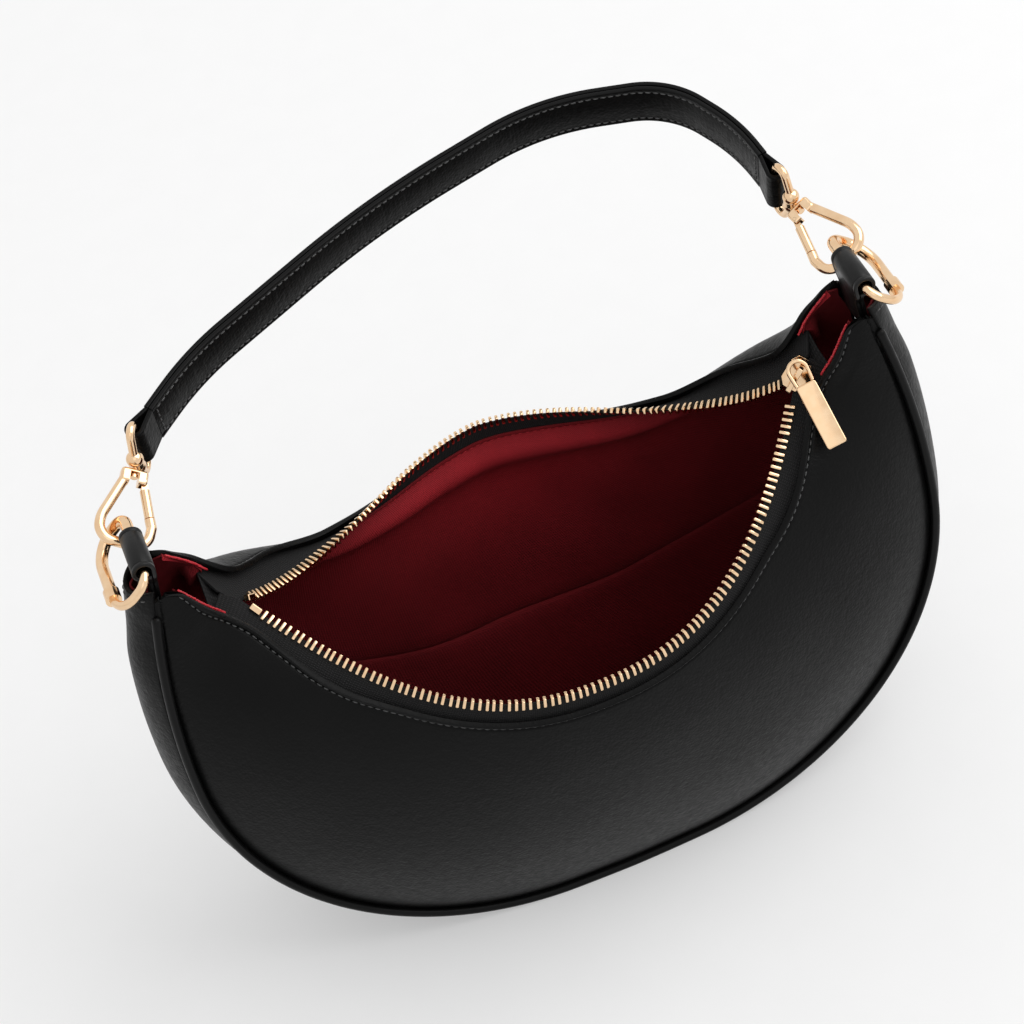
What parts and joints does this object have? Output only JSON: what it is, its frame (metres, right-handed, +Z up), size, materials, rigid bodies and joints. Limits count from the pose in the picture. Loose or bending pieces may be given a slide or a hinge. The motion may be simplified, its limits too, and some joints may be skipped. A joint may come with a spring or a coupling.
{
  "type": "half moon bag",
  "caption": "Crescent shoulder bag in black leather with a crimson lining, an open metal zip and a short strap on swivel hooks and rings.",
  "frame": {"origin": "on the floor under the middle of the bag's flat base", "axes": "+X along the bag's width, towards the slider's end; +Y to the back, where the strap lies; +Z up"},
  "size_m": [0.2988, 0.1796, 0.2411],
  "materials": {
    "black_leather": "smooth, soft sheen",
    "crimson_twill": "fine twill",
    "zip_tape": "woven",
    "pale_gold": "polished, pale rose gold"
  },
  "bodies": {
    "bag": {"front_panel": "black_leather", "back_panel": "black_leather", "front_lining": "crimson_twill", "back_lining": "crimson_twill", "front_piping": "black_leather", "back_piping": "black_leather", "front_zip_tape": "zip_tape", "back_zip_tape": "zip_tape", "front_zip_teeth": "pale_gold", "back_zip_teeth": "pale_gold", "gusset": "black_leather", "gusset_lining": "crimson_twill", "zip_end_stops": "pale_gold", "slider_body": "pale_gold", "slider_crown": "pale_gold", "left_loop_tab": "black_leather", "right_loop_tab": "black_leather"},
    "handle": {"strap_outer": "black_leather", "strap_inner": "black_leather", "left_swivel": "pale_gold", "left_bail": "pale_gold", "right_swivel": "pale_gold", "right_bail": "pale_gold"},
    "pull": {"pull_loop": "pale_gold", "pull_plate": "pale_gold"},
    "left_ring": {"left_ring": "pale_gold", "left_ring_collar": "pale_gold"},
    "left_hook": {"left_hook": "pale_gold", "left_gate_pin": "pale_gold"},
    "left_gate": {"left_gate": "pale_gold"},
    "right_ring": {"right_ring": "pale_gold", "right_ring_collar": "pale_gold"},
    "right_hook": {"right_hook": "pale_gold", "right_gate_pin": "pale_gold"},
    "right_gate": {"right_gate": "pale_gold"}
  },
  "joints": [
    {"name": "handle_swing", "type": "hinge", "parent": "bag", "child": "handle", "pos_m": [0, 0.0128, 0.20887], "axis": [1, 0, 0], "range_deg": [-3, 92]},
    {"name": "left_ring_swing", "type": "hinge", "parent": "bag", "child": "left_ring", "pos_m": [-0.12873, 0, 0.21412], "axis": [0, 1, 0], "range_deg": [-5, 3]},
    {"name": "left_hook_swivel", "type": "hinge", "parent": "handle", "child": "left_hook", "pos_m": [-0.13213, 0.0128, 0.20887], "axis": [0.4384, 0.8758, 0.2022], "range_deg": [-5, 8]},
    {"name": "left_gate_open", "type": "hinge", "parent": "left_hook", "child": "left_gate", "pos_m": [-0.11879, 0.03295, 0.21184], "axis": [-0.422, 0.3992, -0.814], "range_deg": [0, 22], "stiffness_Nm_per_rad": 0.02, "springref_deg": -11.46},
    {"name": "right_ring_swing", "type": "hinge", "parent": "bag", "child": "right_ring", "pos_m": [0.12873, 0, 0.21412], "axis": [0, 1, 0], "range_deg": [-3, 5]},
    {"name": "right_hook_swivel", "type": "hinge", "parent": "handle", "child": "right_hook", "pos_m": [0.13213, 0.0128, 0.20887], "axis": [-0.2249, 0.9494, 0.2192], "range_deg": [-8, 5]},
    {"name": "right_gate_open", "type": "hinge", "parent": "right_hook", "child": "right_gate", "pos_m": [0.1237, 0.03537, 0.2124], "axis": [-0.4574, -0.3015, 0.8366], "range_deg": [0, 22], "stiffness_Nm_per_rad": 0.02, "springref_deg": -11.46},
    {"name": "pull_swing", "type": "hinge", "parent": "bag", "child": "pull", "pos_m": [0.10035, -0.00655, 0.18221], "axis": [-0.9893, 0, -0.1461], "range_deg": [0, 28]}
  ]
}
